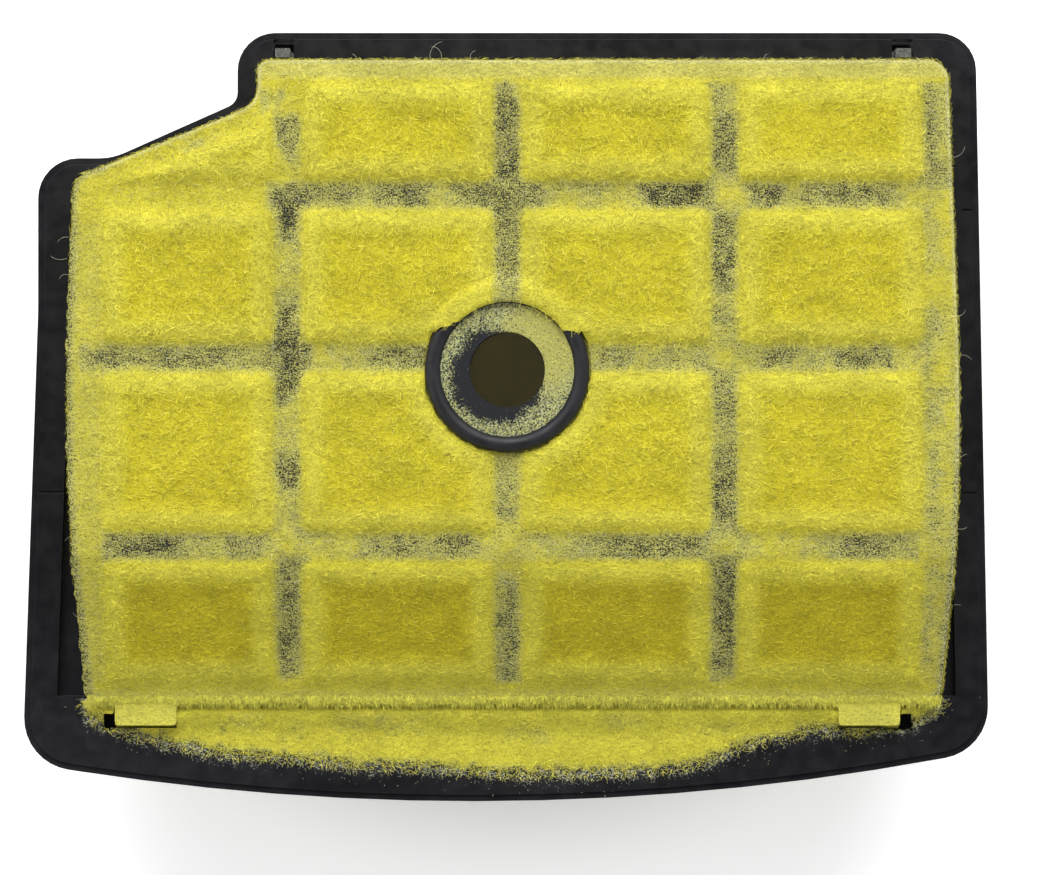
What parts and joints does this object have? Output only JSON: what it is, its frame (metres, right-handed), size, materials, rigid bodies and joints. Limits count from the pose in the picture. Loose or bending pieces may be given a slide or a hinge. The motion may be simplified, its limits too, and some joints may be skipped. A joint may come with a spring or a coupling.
{
  "type": "air filter housing",
  "caption": "Flocked air filter housing for a small petrol engine: a rimmed tub and a hinged windowed lid, each filled with yellow flocked media, with a round intake port below.",
  "frame": {"origin": "centre of the intake port's mouth, on the rubber face that seats on the engine", "axes": "+Z along the port and the stud hole, away from the engine; +Y towards the straight back edge with the catches; +X to the right of a viewer who looks down on the flocked lid"},
  "size_m": [0.13, 0.1036, 0.0355],
  "materials": {
    "black_nylon": "moulded glass-filled nylon, satin black",
    "bush_nylon": "moulded nylon, partly flocked",
    "catch_nylon": "moulded nylon, dusty grey at the tip",
    "flocked_media": "yellow nylon flock on fine mesh, fuzzy",
    "seal_rubber": "soft satin rubber",
    "gasket_foam": "closed-cell foam strip"
  },
  "bodies": {
    "base": {"base_rim": "black_nylon", "tub_walls": "black_nylon", "tub_floor": "black_nylon", "floor_media_row_1": "flocked_media", "floor_media_row_2_left": "flocked_media", "floor_media_row_2_right": "flocked_media", "floor_media_row_3_left": "flocked_media", "floor_media_row_3_right": "flocked_media", "floor_media_row_4": "flocked_media", "side_media_front": "flocked_media", "side_media_back": "flocked_media", "side_media_left": "flocked_media", "side_media_right": "flocked_media", "intake_seal": "seal_rubber", "centre_support": "black_nylon", "rim_gasket": "gasket_foam"},
    "lid": {"lid_frame": "black_nylon", "lid_media_row_1": "flocked_media", "lid_media_row_2": "flocked_media", "lid_media_row_3": "flocked_media", "lid_media_row_4": "flocked_media", "centre_bush": "bush_nylon", "centre_seal": "seal_rubber"},
    "catch_left": {"catch_left": "catch_nylon"},
    "catch_right": {"catch_right": "catch_nylon"}
  },
  "joints": [
    {"name": "lid_hinge", "type": "hinge", "parent": "base", "child": "lid", "pos_m": [0, -0.0472, 0.0229], "axis": [1, 0, 0], "range_deg": [0, 35]},
    {"name": "catch_left_flex", "type": "hinge", "parent": "base", "child": "catch_left", "pos_m": [-0.0302, 0.0427, 0.011], "axis": [-1, 0, 0], "range_deg": [0, 5], "stiffness_Nm_per_rad": 0.02},
    {"name": "catch_right_flex", "type": "hinge", "parent": "base", "child": "catch_right", "pos_m": [0.0532, 0.0427, 0.011], "axis": [-1, 0, 0], "range_deg": [0, 5], "stiffness_Nm_per_rad": 0.02}
  ]
}
